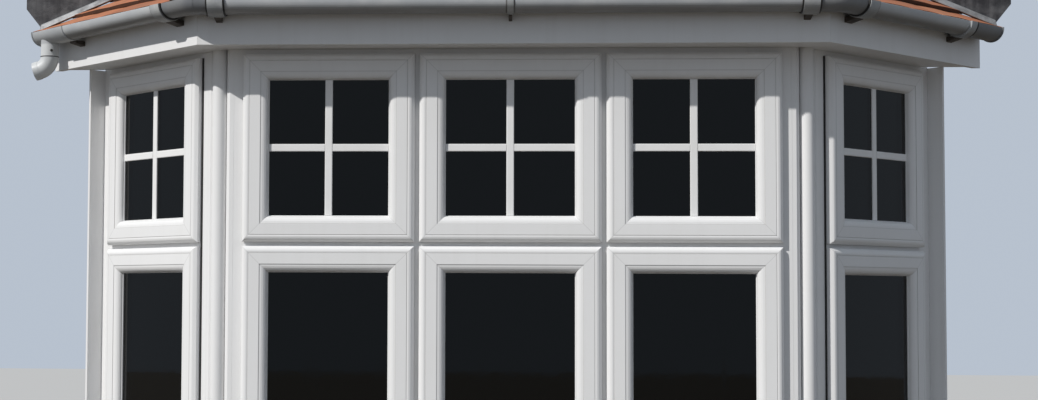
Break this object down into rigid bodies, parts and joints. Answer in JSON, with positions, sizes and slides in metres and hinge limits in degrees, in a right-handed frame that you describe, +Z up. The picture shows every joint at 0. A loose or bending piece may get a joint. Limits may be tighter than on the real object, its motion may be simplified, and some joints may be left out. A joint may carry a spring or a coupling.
{
  "type": "bay window",
  "caption": "Canted ground-floor bay with white framed lights, mitred sashes, brick dwarf wall, boxed eaves, half round gutter and hipped plain tile roof.",
  "frame": {"origin": "on the ground, on the centre line of the bay, in the outer face of the house wall", "axes": "+X along the house wall to the right as seen from outside, +Y into the house, +Z up"},
  "size_m": [3.1024, 0.7371, 2.9283],
  "materials": {
    "brick": "rough red facing brick with pale mortar",
    "plaster": "painted plaster, matt",
    "concrete": "trowelled concrete",
    "white_upvc": "white extruded plastic, satin, lightly weathered",
    "window_glass": "clear sealed glass unit, dark inside",
    "grey_gutter": "grey gutter plastic, weathered and dusty",
    "pale_bend": "pale grey pipe fitting",
    "sawn_timber": "sawn softwood",
    "clay_tile": "orange clay plain tile, weathered",
    "lead_sheet": "dull dark grey lead, mottled"
  },
  "bodies": {
    "root": {"brick_dwarf_wall": "brick", "plaster_lining": "plaster", "floor_slab": "concrete", "window_board": "white_upvc", "front_cill": "white_upvc", "left_cill": "white_upvc", "right_cill": "white_upvc", "front_frame": "white_upvc", "left_frame": "white_upvc", "right_frame": "white_upvc", "left_bay_pole": "white_upvc", "right_bay_pole": "white_upvc", "pole_adaptors": "white_upvc", "jamb_fillers": "white_upvc", "reveal_boards": "white_upvc", "front_left_fanlight": "white_upvc", "front_centre_fanlight": "white_upvc", "front_right_fanlight": "white_upvc", "left_side_fanlight": "white_upvc", "right_side_fanlight": "white_upvc", "front_left_sash": "white_upvc", "front_centre_sash": "white_upvc", "front_right_sash": "white_upvc", "left_side_sash": "white_upvc", "right_side_sash": "white_upvc", "front_glass": "window_glass", "left_glass": "window_glass", "right_glass": "window_glass", "head_beam": "sawn_timber", "ceiling_board": "plaster", "soffit_boards": "white_upvc", "front_fascia": "white_upvc", "left_fascia": "white_upvc", "right_fascia": "white_upvc", "front_gutter": "grey_gutter", "left_gutter": "grey_gutter", "right_gutter": "grey_gutter", "gutter_angles": "grey_gutter", "gutter_brackets": "grey_gutter", "gutter_outlet": "grey_gutter", "outlet_bend": "pale_bend", "gutter_stop_end": "grey_gutter", "ceiling_joists": "sawn_timber", "wall_ledger": "sawn_timber", "rafters": "sawn_timber", "hip_rafters": "sawn_timber", "tile_battens": "sawn_timber", "front_roof_tiles": "clay_tile", "left_roof_tiles": "clay_tile", "right_roof_tiles": "clay_tile", "hip_tiles": "clay_tile", "side_flashings": "lead_sheet", "top_flashing": "lead_sheet"}
  },
  "joints": []
}
